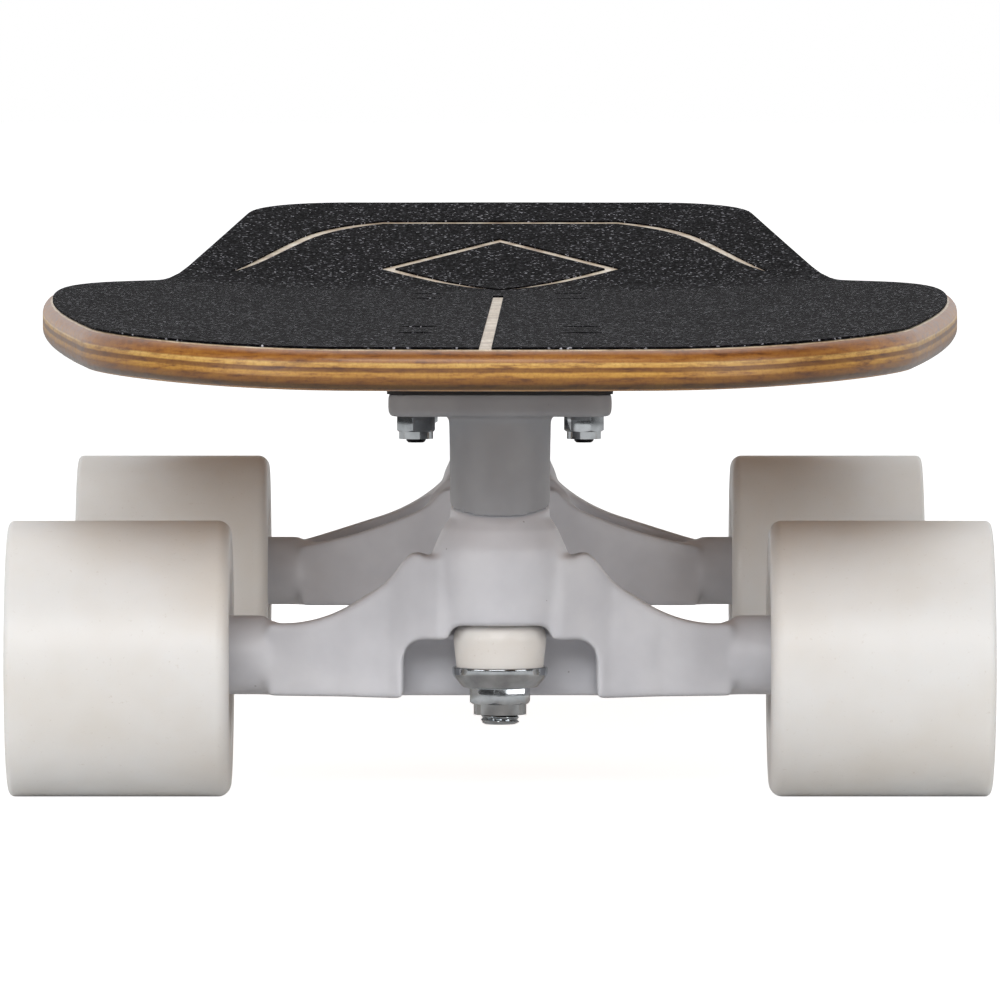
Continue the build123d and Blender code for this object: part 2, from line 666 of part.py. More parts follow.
def hanger_casting(crest_points, cuts):
    """Hanger with its wings' crest, and with its back cut down to lower crests from given places on."""
    with BuildPart() as casting:
        with BuildSketch(Plane.XY.offset(-tube_radius)):
            with BuildLine():
                for side in (1, -1):
                    Polyline(
                        (0, tube_radius),
                        (side * boss_start, tube_radius),
                        (side * boss_start, -tube_radius),
                        *((side * x, y) for x, y in wing_plan),
                    )
            make_face()
        extrude(amount=collar_height + tube_radius)
        with BuildSketch(Plane.XZ):
            with BuildLine():
                for side in (1, -1):
                    crest = [(side * x, z) for x, z in crest_points]
                    Line((0, crest_points[0][1]), crest[0])
                    Spline(*crest)
                    Polyline(
                        crest[-1],
                        (side * boss_start, crest_points[-1][1]),
                        (side * boss_start, -hanger_belly),
                        (0, -hanger_belly),
                    )
            make_face()
        extrude(amount=4 * tube_radius, both=True, mode=Mode.INTERSECT)
        add(neck.part)
        with BuildSketch(Plane.YZ):
            Circle(tube_radius)
        extrude(amount=boss_start, both=True)
        for side in (1, -1):
            with BuildSketch(Plane.YZ.offset(side * boss_start)):
                with Locations((0, boss_rise)):
                    Circle(boss_radius)
            extrude(amount=side * (boss_end - boss_start))
            with BuildSketch(Plane.YZ.offset(side * boss_start)):
                Circle(hanger_nose_radius)
            extrude(amount=side * (hanger_face - boss_start))
        with BuildSketch(pivot_section):
            with BuildLine():
                thick_end = pivot_reach - pivot_shoulder
                half_turn = pivot_tip_radius * math.sqrt(0.5)
                Polyline(
                    (0, pivot_reach + pivot_tip_radius),
                    (0, pivot_root_radius),
                    (pivot_root_radius, pivot_root_radius),
                    (pivot_root_radius - pivot_taper, thick_end),
                    (pivot_tip_radius, thick_end + pivot_bevel),
                    (pivot_tip_radius, pivot_reach),
                )
                ThreePointArc(
                    (pivot_tip_radius, pivot_reach),
                    (half_turn, pivot_reach + half_turn),
                    (0, pivot_reach + pivot_tip_radius),
                )
            make_face()
        revolve(axis=pivot_axis)
        with BuildSketch(Plane(origin=(0, recess_wall, 0), x_dir=(1, 0, 0), z_dir=(0, -1, 0))):
            with Locations((0, shelf_bottom - 2 * tube_radius)):
                RectangleRounded(2 * recess_half_width, 4 * tube_radius, recess_corner)
        extrude(amount=8 * tube_radius, mode=Mode.SUBTRACT)
        with BuildSketch(kingpin_section):
            RectangleRounded(2 * (bushing_seat + seat_mouth_margin), 2 * ring_bottom, seat_mouth_corner)
        extrude(amount=4 * tube_radius, mode=Mode.SUBTRACT)
        with BuildSketch(kingpin_section):
            with BuildLine():
                Polyline(
                    (0, 0),
                    (bushing_seat, 0),
                    (bushing_seat, ring_bottom),
                    (kingpin_radius + kingpin_swing_gap, ring_bottom),
                    (kingpin_radius + kingpin_swing_gap, ring_top),
                    (collar_radius - neck_wall, ring_top),
                    (collar_radius - neck_wall, 2 * collar_height),
                    (0, 2 * collar_height),
                    close=True,
                )
            make_face()
        revolve(axis=kingpin_axis, mode=Mode.SUBTRACT)
        for start, crest in cuts:
            for side in (1, -1):
                with BuildSketch(Plane.XZ.offset(-start)):
                    with BuildLine():
                        crest_line = [(side * x, z) for x, z in crest]
                        Spline(*crest_line)
                        Polyline(
                            crest_line[-1],
                            (side * crest[-1][0], collar_height),
                            (side * crest[0][0], collar_height),
                            crest_line[0],
                        )
                    make_face()
                extrude(amount=-4 * tube_radius, mode=Mode.SUBTRACT)
        with BuildSketch(Plane.XY.offset(pocket_floor)):
            for side in (1, -1):
                with Locations((side * (pocket_start + pocket_end) / 2, 0)):
                    RectangleRounded(pocket_end - pocket_start, 2 * pocket_half_width, pocket_corner)
        extrude(amount=2 * collar_height, mode=Mode.SUBTRACT)
        with BuildSketch(Plane.YZ):
            Circle(axle_radius + press)
        extrude(amount=2 * hanger_face, both=True, mode=Mode.SUBTRACT)
    return casting


hangers = {
    "front": hanger_casting(front_crest, ((front_wall_start, front_wall), (pocket_half_width, front_rim))),
    "rear": hanger_casting(rear_crest, ((pocket_half_width, rear_rim),)),
}

with BuildPart() as axle:
    with BuildSketch(Plane.YZ):
        Circle(axle_radius)
    extrude(amount=axle_end, both=True)
    chamfer(axle.faces().filter_by(Axis.X).edges(), axle_chamfer)

# ---------------------------------------------------------------- wheel and bearing pieces, inner face at x = 0
first_bearing, second_bearing = bearing_starts
groove_radius = ball_radius + running
shield_gap = inner_ring_radius + loose


def lathed(points, lips=(), groove=None):
    """Solid of revolution about the axle from an outline of (x, radius) points, with an optional ball groove."""
    with BuildPart() as piece:
        with BuildSketch(Plane.XY) as outline:
            with BuildLine():
                Polyline(*points, close=True)
            make_face()
            for end, lip in lips:
                fillet(outline.vertices().group_by(Axis.Y)[-1].sort_by(Axis.X)[end], lip)
            if groove:
                with Locations(groove):
                    Circle(groove_radius, mode=Mode.SUBTRACT)
        revolve(axis=Axis.X)
    return piece


def sleeve(start, length, bore, radius, groove=None):
    """Plain ring about the axle."""
    end = start + length
    return lathed(((start, bore), (start, radius), (end, radius), (end, bore)), groove=groove)


def pair(piece, spacing):
    """A piece and its copy further out along the axle."""
    return copies(piece.part, (Location(), Location((spacing, 0, 0))))


tyre = lathed(
    (
        (first_bearing, core_radius),
        (0, core_radius + recess_flare),
        (0, wheel_radius),
        (wheel_width, wheel_radius),
        (wheel_width, core_radius + recess_flare),
        (core_end, core_radius),
    ),
    lips=((-1, wheel_outer_lip), (0, wheel_inner_lip)),
)
seat_radius = bearing_radius + press
core = lathed(
    (
        (first_bearing, seat_radius),
        (first_bearing, core_radius),
        (core_end, core_radius),
        (core_end, seat_radius),
        (second_bearing, seat_radius),
        (second_bearing, core_bore),
        (first_bearing + bearing_width, core_bore),
        (first_bearing + bearing_width, seat_radius),
    )
)
bearing_pitch = second_bearing - first_bearing
groove_place = (first_bearing + bearing_width / 2, ball_pitch_radius)
outer_ring = sleeve(first_bearing, bearing_width, outer_ring_bore, bearing_radius, groove_place)
bearing_outer_rings = pair(outer_ring, bearing_pitch)
shield = sleeve(first_bearing + shield_recess, shield_thickness, shield_gap, outer_ring_bore)
shield_pair = pair(shield, bearing_width - 2 * shield_recess - shield_thickness)
bearing_shields = pair(shield_pair, bearing_pitch)
with BuildPart() as ball_ring:
    with Locations(Plane.YZ.offset(groove_place[0])):
        with PolarLocations(ball_pitch_radius, ball_count):
            Sphere(ball_radius)
bearing_balls = pair(ball_ring, bearing_pitch)
cage_end = first_bearing + bearing_width - shield_recess - shield_thickness - loose
cage_start = groove_place[0] - cage_back
cage_ring = sleeve(cage_start, cage_end - cage_start, shield_gap + cage_inner_gap, outer_ring_bore - cage_outer_gap)
with BuildPart() as cage:
    add(cage_ring.part)
    with Locations(Plane.YZ.offset(groove_place[0])):
        with PolarLocations(ball_pitch_radius, ball_count):
            Sphere(groove_radius, mode=Mode.SUBTRACT)
bearing_cages = pair(cage, bearing_pitch)

inner_ring = sleeve(first_bearing, bearing_width, axle_radius + press, inner_ring_radius, groove_place)
spacer_bore = axle_radius + running
spacer = sleeve(first_bearing + bearing_width, spacer_length, spacer_bore, spacer_bore + spacer_wall)
washer = sleeve(
    first_bearing - speed_washer_thickness, speed_washer_thickness, spacer_bore, inner_ring_radius - 0.1
)
washer_pair = pair(washer, core_end - first_bearing + speed_washer_thickness)
axle_nut = nut(
    Plane(origin=(axle_nut_seat, 0, 0), z_dir=(1, 0, 0)),
    axle_nut_flats,
    axle_nut_hex,
    axle_nut_collar,
    axle_nut_shoulder,
    axle_radius + press,
)
side_places = {
    1: Location((wheel_inner_face, 0, 0)),
    -1: Location((-wheel_inner_face, 0, 0), (0, 0, 180)),
}
bearing_inner_rings = copies(pair(inner_ring, bearing_pitch).part, side_places.values())
bearing_spacers = copies(spacer.part, side_places.values())
speed_washers = copies(washer_pair.part, side_places.values())
axle_nuts = copies(axle_nut, side_places.values())

# ---------------------------------------------------------------- the two trucks and four wheels in their places
truck_pieces = {
    "riser_pad": riser_pad,
    "baseplate": baseplate,
    "pivot_cup": pivot_cup,
    "kingpin": kingpin,
    "kingpin_nut": kingpin_nut,
    "upper_bushing": upper_bushing,
    "lower_bushing": lower_bushing,
    "lower_washer": lower_washer,
    "deck_bolts": deck_bolts,
    "deck_nuts": deck_nuts,
    "axle": axle,
    "axle_nuts": axle_nuts,
    "speed_washers": speed_washers,
    "bearing_spacers": bearing_spacers,
    "bearing_inner_rings": bearing_inner_rings,
}
wheel_pieces = {
    "tyre": tyre,
    "core": core,
    "bearing_outer_rings": bearing_outer_rings,
    "bearing_shields": bearing_shields,
    "bearing_balls": bearing_balls,
    "bearing_cages": bearing_cages,
}
wheel_sides = {"front_left": 1, "front_right": -1, "rear_left": -1, "rear_right": 1}
for truck_name, place in truck_places.items():
    for piece_name, piece in truck_pieces.items():
        write(piece, f"{truck_name}_{piece_name}", place)
    write(hangers[truck_name], f"{truck_name}_hanger", place)
for wheel_name, side in wheel_sides.items():
    place = truck_places[wheel_name.split("_")[0]] * side_places[side]
    for piece_name, piece in wheel_pieces.items():
        write(piece, f"{wheel_name}_{piece_name}", place)
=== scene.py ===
"""The looks of a cruising skateboard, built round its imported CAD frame.

Everything ends up in metres in the CAD row frame: +Z up, the nose at -Y, the kicked tail at +Y. The finishes
and the studio are sized in metres too. The pieces are sized in millimetres, and a truck's pieces are drawn in
the truck's own frame, with the middle of its axle at the origin and its end of the deck towards -Y.
"""

from __future__ import annotations

import json
import logging
import math
from dataclasses import dataclass
from enum import Enum
from functools import partial
from typing import Any, Callable, Mapping, Sequence

import bmesh
import bpy
import numpy as np
from mathutils import Matrix, Vector

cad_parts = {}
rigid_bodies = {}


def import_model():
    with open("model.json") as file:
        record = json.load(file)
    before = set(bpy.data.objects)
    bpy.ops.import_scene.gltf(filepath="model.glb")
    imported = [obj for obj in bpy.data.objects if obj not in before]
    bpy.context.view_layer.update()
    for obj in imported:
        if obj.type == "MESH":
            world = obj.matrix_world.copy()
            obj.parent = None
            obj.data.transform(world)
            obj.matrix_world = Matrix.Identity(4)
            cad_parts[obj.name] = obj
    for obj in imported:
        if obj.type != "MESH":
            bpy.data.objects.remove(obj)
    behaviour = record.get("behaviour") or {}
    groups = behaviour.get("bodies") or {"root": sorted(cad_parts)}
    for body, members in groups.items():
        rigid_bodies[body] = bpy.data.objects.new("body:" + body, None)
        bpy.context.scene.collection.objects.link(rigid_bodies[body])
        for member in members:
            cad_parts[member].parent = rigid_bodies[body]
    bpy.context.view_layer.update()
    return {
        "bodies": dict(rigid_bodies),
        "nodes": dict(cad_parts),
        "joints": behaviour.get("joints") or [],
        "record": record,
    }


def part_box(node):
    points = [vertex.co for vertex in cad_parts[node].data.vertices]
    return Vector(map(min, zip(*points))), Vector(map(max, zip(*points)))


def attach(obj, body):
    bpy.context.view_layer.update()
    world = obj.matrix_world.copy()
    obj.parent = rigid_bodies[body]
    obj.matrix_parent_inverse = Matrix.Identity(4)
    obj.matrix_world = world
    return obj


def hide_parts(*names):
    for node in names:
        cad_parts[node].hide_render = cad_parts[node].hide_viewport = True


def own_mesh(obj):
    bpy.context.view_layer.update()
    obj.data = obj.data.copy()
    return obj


MM = 0.001
STRAIGHT = 1e-4  # a corner within this many radians of straight needs no rounding
Point = tuple[float, float]
Stops = tuple[tuple[float, str], ...]
log = logging.getLogger("skateboard")


class Truck(Enum):
    """The two trucks, under the nose and under the tail."""

    FRONT = "front"
    REAR = "rear"

    @property
    def axle(self) -> Vector:
        """The middle of the truck's axle, in metres."""
        low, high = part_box(f"{self.value}_axle")
        return (low + high) / 2

    @property
    def place(self) -> Matrix:
        """The truck's own frame in the row frame, in metres."""
        turn = 0.0 if self is Truck.FRONT else math.pi
        return Matrix.Translation(self.axle) @ Matrix.Rotation(turn, 4, "Z")


class Side(Enum):
    """The two sides of the board, as its rider sees them when facing the nose."""

    LEFT = "left"
    RIGHT = "right"


# ------------------------------------------------------------------ colours and shader nodes
def linear(code: str) -> tuple[float, float, float, float]:
    """Turn an sRGB hex colour into linear values.

    Args:
        code: A colour such as "#d8c3a5".

    Returns:
        Red, green, blue and alpha, as Blender's colour sockets take them.
    """
    channels = [int(code[i : i + 2], 16) / 255 for i in (1, 3, 5)]
    rgb = [c / 12.92 if c <= 0.04045 else ((c + 0.055) / 1.055) ** 2.4 for c in channels]
    return (rgb[0], rgb[1], rgb[2], 1.0)


def add_node(
    tree: bpy.types.NodeTree,
    kind: str,
    inputs: Mapping[Any, Any] | None = None,
    output: str | None = None,
    stops: Stops = (),
    **settings: Any,
) -> bpy.types.NodeSocket:
    """Add a shader node with its settings, values and links.

    Args:
        tree: The node tree that gets the node.
        kind: Blender's name of the node's type, without its ShaderNode.
        inputs: Socket name or number to a value, or to the output socket that feeds it.
        output: The name of the wanted output, or None for the first one in use.
        stops: A colour ramp's positions from 0 to 1 and hex colours, in order.
        settings: Properties of the node itself.

    Returns:
        The wanted output socket.
    """
    made = tree.nodes.new(f"ShaderNode{kind}")
    for name, value in settings.items():
        setattr(made, name, value)
    for key, value in (inputs or {}).items():
        if isinstance(value, bpy.types.NodeSocket):
            tree.links.new(value, made.inputs[key])
        else:
            made.inputs[key].default_value = value
    for number, (position, code) in enumerate(stops):
        elements = made.color_ramp.elements
        element = elements[number] if number < len(elements) else elements.new(1.0)
        element.position = position
        element.color = linear(code)
    return made.outputs[output] if output else next(s for s in made.outputs if s.enabled)


@dataclass(frozen=True)
class Finish:
    """A surface finish, which makes one Blender material and shares it among the pieces that wear it."""

    name: str
    colour: str
    roughness: float = 0.5
    metallic: float = 0.0
    ior: float = 1.5

    def material(self) -> bpy.types.Material:
        """Return the finish's material, made the first time that it is asked for."""
        if self.name in bpy.data.materials:
            return bpy.data.materials[self.name]
        made = bpy.data.materials.new(self.name)
        made.use_nodes = True
        made.diffuse_color = linear(self.colour)
        shader = made.node_tree.nodes["Principled BSDF"]
        shader.inputs["Base Color"].default_value = linear(self.colour)
        shader.inputs["Roughness"].default_value = self.roughness
        shader.inputs["Metallic"].default_value = self.metallic
        if not self.metallic:
            shader.inputs["IOR"].default_value = self.ior
        self.detail(made.node_tree, shader)
        return made

    def detail(self, tree: bpy.types.NodeTree, shader: bpy.types.Node) -> None:
        """Add the finish's pattern, relief and gloss to its shader.

        Args:
            tree: The material's node tree.
            shader: Its Principled shader.
        """

    def dress(self, *pieces: bpy.types.Object) -> None:
        """Give pieces this finish in place of whatever they wear.

        Args:
            pieces: The objects to dress.
        """
        for piece in pieces:
            piece.data.materials.clear()
            piece.data.materials.append(self.material())


@dataclass(frozen=True)
class GripTape(Finish):
    """Silicon-carbide grit glued to black film: near black and matt, with single grains that glint."""

    # 80 grit is about 0.2 mm, drawn coarser so that clumps of grains show
    grain: float = 0.55 * MM
    grain_height: float = 0.12 * MM
    # the darker stops are the grit's own uneven tone; the near-white last stop is a painted glint on the
    # rarest grains
    grain_tones_and_glints: Stops = (
        (0.0, "#040406"),
        (0.5, "#0a090c"),
        (0.84, "#16151a"),
        (0.96, "#414046"),
        (1.0, "#dcdce2"),
    )
    dull: float = 0.95  # roughness of the darkest grain
    glint: float = 0.4  # how much smoother the brightest grain is
    specular: float = 0.03
    scuff: float = 26 * MM
    scuff_shades: Stops = ((0.3, "#c4c3c8"), (0.72, "#ffffff"))

    def detail(self, tree: bpy.types.NodeTree, shader: bpy.types.Node) -> None:
        """Draw grains of uneven tone and a few glinting ones, whose glint is partly a painted near-white
        colour and partly a smoother gloss, over soft scuffed patches.

        Args:
            tree: The material's node tree.
            shader: Its Principled shader.
        """
        make = partial(add_node, tree)
        place = make("TexCoord", output="Object")
        cells = {"Vector": place, "Scale": 1 / self.grain}
        luck = make("SeparateColor", {0: make("TexVoronoi", cells, "Color")})
        # the ramp's near-white top stop paints glints on the brightest grains
        shade = make("ValToRGB", {0: luck}, stops=self.grain_tones_and_glints)
        patches = {"Vector": place, "Scale": 1 / self.scuff, "Detail": 5.0, "Roughness": 0.62}
        tone = make("ValToRGB", {0: make("TexNoise", patches)}, stops=self.scuff_shades)
        inputs = {"Factor": 1.0, "A": shade, "B": tone}
        mixed = make("Mix", inputs, "Result", data_type="RGBA", blend_type="MULTIPLY")
        tree.links.new(mixed, shader.inputs["Base Color"])
        gloss = make("Math", {0: luck, 1: -self.glint, 2: self.dull}, operation="MULTIPLY_ADD")
        tree.links.new(gloss, shader.inputs["Roughness"])
        shader.inputs["Specular IOR Level"].default_value = self.specular
        height = make("Math", {0: 1.0, 1: make("TexVoronoi", cells, "Distance")}, operation="SUBTRACT")
        normal = make("Bump", {"Height": height, "Distance": self.grain_height, "Strength": 0.7})
        tree.links.new(normal, shader.inputs["Normal"])


@dataclass(frozen=True)
class LaminatedDeck(Finish):
    """Bamboo and maple veneers pressed into one sheet, sanded to a round rim and varnished.

    The rim cuts through the plies, so amber and pale bands run round it under a clear gloss, streaked by
    their grain. The palest band, at the top, is partly painted highlight: pale veneer lightened to near white
    for the glare along the rim's top edge. The bands follow the depth under the bent top face, so they keep
    to the concave and the kick.
    """

    top: float = 114.0 * MM  # the flat middle of the top face
    thickness: float = 9.8 * MM
    rail_flat: float = 35.0 * MM
    rail_radius: float = 640.0 * MM
    kick_start: float = 215.0 * MM
    kick_radius: float = 420.0 * MM
    kick_angle: float = math.radians(7.6)
    fibre_spacing: float = 0.9091 * MM
    fibre_stretch: float = 0.035
    smear_spacing: float = 1.111 * MM  # pores and glue smears on the sanded rim
    smear_stretch: float = 0.16
    cloud_spacing: float = 45.45 * MM
    wander_spacing: float = 33.33 * MM
    wander_stretch: float = 0.3
    wander: float = 0.06  # how far the press moved the plies, as a share of the thickness
    straight_depth: float = 0.07  # the top veneer, down to this depth, stays straight
    gloss_spread: float = 0.3
    varnish: float = 0.35
    varnish_roughness: float = 0.24
    # the first two stops are the pale top veneer lightened to near white as a painted highlight of glare
    # along the rim's top edge; the deeper stops are the plies' own colours
    plies_and_painted_glare: Stops = (
        (0.0, "#fbf3e6"),
        (0.03, "#ecd9b8"),
        (0.045, "#9c6220"),
        (0.15, "#a2681f"),
        (0.26, "#b67d2c"),
        (0.31, "#ac7426"),
        (0.35, "#e8c272"),
        (0.43, "#dcae56"),
        (0.46, "#8a5a18"),
        (0.54, "#916219"),
        (0.58, "#d4a449"),
        (0.66, "#c08e36"),
        (0.70, "#99681a"),
        (0.82, "#815513"),
        (0.86, "#5e4112"),
        (0.955, "#553d17"),
        (0.975, "#b98b4a"),
        (1.0, "#be945c"),
    )

    def detail(self, tree: bpy.types.NodeTree, shader: bpy.types.Node) -> None:
        """Band the plies by depth, streak them with grain along the board, and varnish them.

        Args:
            tree: The material's node tree.
            shader: Its Principled shader.
        """
        make = partial(add_node, tree)
        place = make("TexCoord", output="Object")
        depth = self.depth(make, place)
        # plies wander by a few tenths of a millimetre where the press squeezed them
        eased = make("VectorMath", {0: place, 1: (1, self.wander_stretch, 1)}, operation="MULTIPLY")
        waves = make("TexNoise", {"Vector": eased, "Scale": 1 / self.wander_spacing})
        shift = {0: waves, 1: self.wander, 2: -self.wander / 2}
        wander = make("Math", shift, operation="MULTIPLY_ADD")
        inner = make("Math", {0: depth, 1: self.straight_depth}, operation="GREATER_THAN")
        drift = make("Math", {0: wander, 1: inner, 2: depth}, operation="MULTIPLY_ADD")
        # the ramp's top stops paint a highlight of glare on the rim's upper edge
        tinted = make("ValToRGB", {0: drift}, stops=self.plies_and_painted_glare)
        # the fibres run long along the board, and the smears some millimetres either way
        drawn = make("VectorMath", {0: place, 1: (1, self.fibre_stretch, 1)}, operation="MULTIPLY")
        fibres = {"Vector": drawn, "Scale": 1 / self.fibre_spacing, "Detail": 4.0, "Roughness": 0.7}
        grain = make("TexNoise", fibres)
        stretch = (self.smear_stretch, self.smear_stretch, 1)
        rubbed = make("VectorMath", {0: place, 1: stretch}, operation="MULTIPLY")
        smears = {"Vector": rubbed, "Scale": 1 / self.smear_spacing, "Detail": 4.0, "Roughness": 0.62}
        smear = make("TexNoise", smears)
        clouds = make("TexNoise", {"Vector": place, "Scale": 1 / self.cloud_spacing, "Detail": 3.0})
        # each layer's strength, its pattern and its tints from the pattern's low to its high values
        layers = (
            (0.55, grain, ((0.3, "#b69670"), (0.5, "#eee5d8"), (0.75, "#ffffff"))),
            (0.85, smear, ((0.3, "#8d6a45"), (0.46, "#e6d8c6"), (0.62, "#ffffff"))),
            (0.5, clouds, ((0.3, "#b9a487"), (0.6, "#ffffff"))),
        )
        for share, pattern, stops in layers:
            inputs = {"Factor": share, "A": tinted, "B": make("ValToRGB", {0: pattern}, stops=stops)}
            tinted = make("Mix", inputs, "Result", data_type="RGBA", blend_type="MULTIPLY")
        tree.links.new(tinted, shader.inputs["Base Color"])
        shader.inputs["Coat Weight"].default_value = self.varnish
        shader.inputs["Coat Roughness"].default_value = self.varnish_roughness
        rubbed_in = {0: smear, 1: self.gloss_spread, 2: self.roughness - self.gloss_spread / 2}
        gloss = make("Math", rubbed_in, operation="MULTIPLY_ADD")
        tree.links.new(gloss, shader.inputs["Roughness"])
        normal = make("Bump", {"Height": grain, "Distance": 0.05 * MM, "Strength": 0.35})
        tree.links.new(normal, shader.inputs["Normal"])

    def depth(self, make: Callable[..., Any], place: bpy.types.NodeSocket) -> bpy.types.NodeSocket:
        """Measure the depth under the bent top face.

        Args:
            make: Adds a node to the material's tree.
            place: The point's place in the row frame.

        Returns:
            The depth, from 0 at the top to 1 at the underside.
        """
        x = make("SeparateXYZ", {0: place}, "X")
        y = make("SeparateXYZ", {0: place}, "Y")
        z = make("SeparateXYZ", {0: place}, "Z")
        aside = make("Math", {0: x}, operation="ABSOLUTE")
        beyond = make("Math", {0: aside, 1: self.rail_flat}, operation="SUBTRACT")
        across = make("Math", {0: beyond, 1: 0.0}, operation="MAXIMUM")
        behind = make("Math", {0: y, 1: self.kick_start}, operation="SUBTRACT")
        along = make("Math", {0: behind, 1: 0.0}, operation="MAXIMUM")
        bend = self.kick_radius * math.sin(self.kick_angle)
        bent = make("Math", {0: along, 1: bend}, operation="MINIMUM")
        past = make("Math", {0: along, 1: bent}, operation="SUBTRACT")
        face = make("Math", {0: past, 1: math.tan(self.kick_angle)}, operation="MULTIPLY")
        for run, radius in ((across, self.rail_radius), (bent, self.kick_radius)):
            square = make("Math", {0: run, 1: run}, operation="MULTIPLY")
            left = make("Math", {0: radius**2, 1: square}, operation="SUBTRACT")
            level = make("Math", {0: left}, operation="SQRT")
            rise = make("Math", {0: radius, 1: level}, operation="SUBTRACT")
            face = make("Math", {0: face, 1: rise}, operation="ADD")
        under = make("Math", {0: face, 1: z}, operation="SUBTRACT")
        lowered = make("Math", {0: under, 1: self.top}, operation="ADD")
        return make("Math", {0: lowered, 1: self.thickness}, operation="DIVIDE")


@dataclass(frozen=True)
class PaintedCasting(Finish):
    """Powder coat on cast aluminium: pale cool grey and satin, with a fine peel and a few specks of dust."""

    tones: tuple[str, str] = ("#cacbd1", "#dddee3")
    tone_spacing: float = 18.18 * MM
    peel: float = 1.3 * MM
    peel_height: float = 0.05 * MM
    gloss_spread: float = 0.16
    dust: str = "#6e6766"
    dust_spacing: float = 6 * MM
    dust_radius: float = 0.045  # as a share of the spacing
    dust_strength: float = 0.5
    clean_share: float = 0.7  # how many of the places where a speck could lie are clean

    def detail(self, tree: bpy.types.NodeTree, shader: bpy.types.Node) -> None:
        """Draw the coat's peel, its uneven tone and the specks.

        Args:
            tree: The material's node tree.
            shader: Its Principled shader.
        """
        make = partial(add_node, tree)
        place = make("TexCoord", output="Object")
        peel = make("TexNoise", {"Vector": place, "Scale": 1 / self.peel, "Detail": 3.0})
        drift = make("TexNoise", {"Vector": place, "Scale": 1 / self.tone_spacing, "Detail": 3.0})
        tones = ((0.3, self.tones[0]), (0.5, self.colour), (0.72, self.tones[1]))
        base = make("ValToRGB", {0: drift}, stops=tones)
        specks = {"Vector": place, "Scale": 1 / self.dust_spacing}
        distance = make("TexVoronoi", specks, "Distance")
        near = make("Math", {0: distance, 1: self.dust_radius}, operation="LESS_THAN")
        luck = make("SeparateColor", {0: make("TexVoronoi", specks, "Color")})
        chosen = make("Math", {0: luck, 1: self.clean_share}, operation="GREATER_THAN")
        dust = make("Math", {0: near, 1: chosen}, operation="MULTIPLY")
        cover = make("Math", {0: dust, 1: self.dust_strength}, operation="MULTIPLY")
        inputs = {"Factor": cover, "A": base, "B": linear(self.dust)}
        tree.links.new(make("Mix", inputs, "Result", data_type="RGBA"), shader.inputs["Base Color"])
        uneven = {0: peel, 1: self.gloss_spread, 2: self.roughness - self.gloss_spread / 2}
        gloss = make("Math", uneven, operation="MULTIPLY_ADD")
        tree.links.new(gloss, shader.inputs["Roughness"])
        normal = make("Bump", {"Height": peel, "Distance": self.peel_height, "Strength": 0.5})
        tree.links.new(normal, shader.inputs["Normal"])


@dataclass(frozen=True)
class CastUrethane(Finish):
    """Poured and turned polyurethane: milky, with warm clouds, a satin skin and faint handling marks."""

    warm: str = "#e5e1db"
    cloud_spacing: float = 31.25 * MM
    milkiness: float = 0.2
    depth: float = 2.0 * MM
    skin: float = 1.111 * MM
    skin_height: float = 0.03 * MM
    marks: str = "#cfc4b6"
    mark_strength: float = 0.3
    gloss_spread: float = 0.14

    def detail(self, tree: bpy.types.NodeTree, shader: bpy.types.Node) -> None:
        """Draw warm clouds in the body and a fine turned skin.

        Args:
            tree: The material's node tree.
            shader: Its Principled shader.
        """
        make = partial(add_node, tree)
        place = make("TexCoord", output="Object")
        clouds = make("TexNoise", {"Vector": place, "Scale": 1 / self.cloud_spacing, "Detail": 3.0})
        base = make("ValToRGB", {0: clouds}, stops=((0.3, self.warm), (0.62, self.colour)))
        turned = {"Vector": place, "Scale": 1 / self.skin, "Detail": 4.0, "Roughness": 0.6}
        fine = make("TexNoise", turned)
        marks = make("ValToRGB", {0: fine}, stops=((0.24, self.marks), (0.36, "#ffffff")))
        inputs = {"Factor": self.mark_strength, "A": base, "B": marks}
        mixed = make("Mix", inputs, "Result", data_type="RGBA", blend_type="MULTIPLY")
        tree.links.new(mixed, shader.inputs["Base Color"])
        uneven = {0: fine, 1: self.gloss_spread, 2: self.roughness - self.gloss_spread / 2}
        gloss = make("Math", uneven, operation="MULTIPLY_ADD")
        tree.links.new(gloss, shader.inputs["Roughness"])
        shader.inputs["Subsurface Weight"].default_value = self.milkiness
        shader.inputs["Subsurface Scale"].default_value = self.depth
        shader.inputs["Subsurface Radius"].default_value = (1.0, 0.9, 0.8)
        normal = make("Bump", {"Height": fine, "Distance": self.skin_height, "Strength": 0.4})
        tree.links.new(normal, shader.inputs["Normal"])


@dataclass(frozen=True)
class PlatedSteel(Finish):
    """Steel turned or pressed and then plated: mirror-bright, with faint tool marks and hazy patches."""

    haze: str = "#b4b7b9"
    haze_spacing: float = 3.846 * MM
    haze_roughness: float = 0.16  # how much rougher the thickest haze is than clean plate
    polish: float = 0.06  # how much smoother clean plate is than the finish's roughness
    marks: float = 1.25 * MM
    marks_depth: float = 0.012 * MM

    def detail(self, tree: bpy.types.NodeTree, shader: bpy.types.Node) -> None:
        """Vary the gloss and tone of the plating and add machining marks.

        Args:
            tree: The material's node tree.
            shader: Its Principled shader.
        """
        make = partial(add_node, tree)
        place = make("TexCoord", output="Object")
        cloud = make("TexNoise", {"Vector": place, "Scale": 1 / self.haze_spacing, "Detail": 3.0})
        base = make("ValToRGB", {0: cloud}, stops=((0.3, self.haze), (0.65, self.colour)))
        tree.links.new(base, shader.inputs["Base Color"])
        hazy = {0: cloud, 1: self.haze_roughness, 2: self.roughness - self.polish}
        gloss = make("Math", hazy, operation="MULTIPLY_ADD")
        tree.links.new(gloss, shader.inputs["Roughness"])
        # the tool ran round the upright pieces, so its marks are close together in height
        squeezed = make("VectorMath", {0: place, 1: (1, 1, 6)}, operation="MULTIPLY")
        marks = make("TexNoise", {"Vector": squeezed, "Scale": 1 / self.marks})
        normal = make("Bump", {"Height": marks, "Distance": self.marks_depth, "Strength": 0.4})
        tree.links.new(normal, shader.inputs["Normal"])


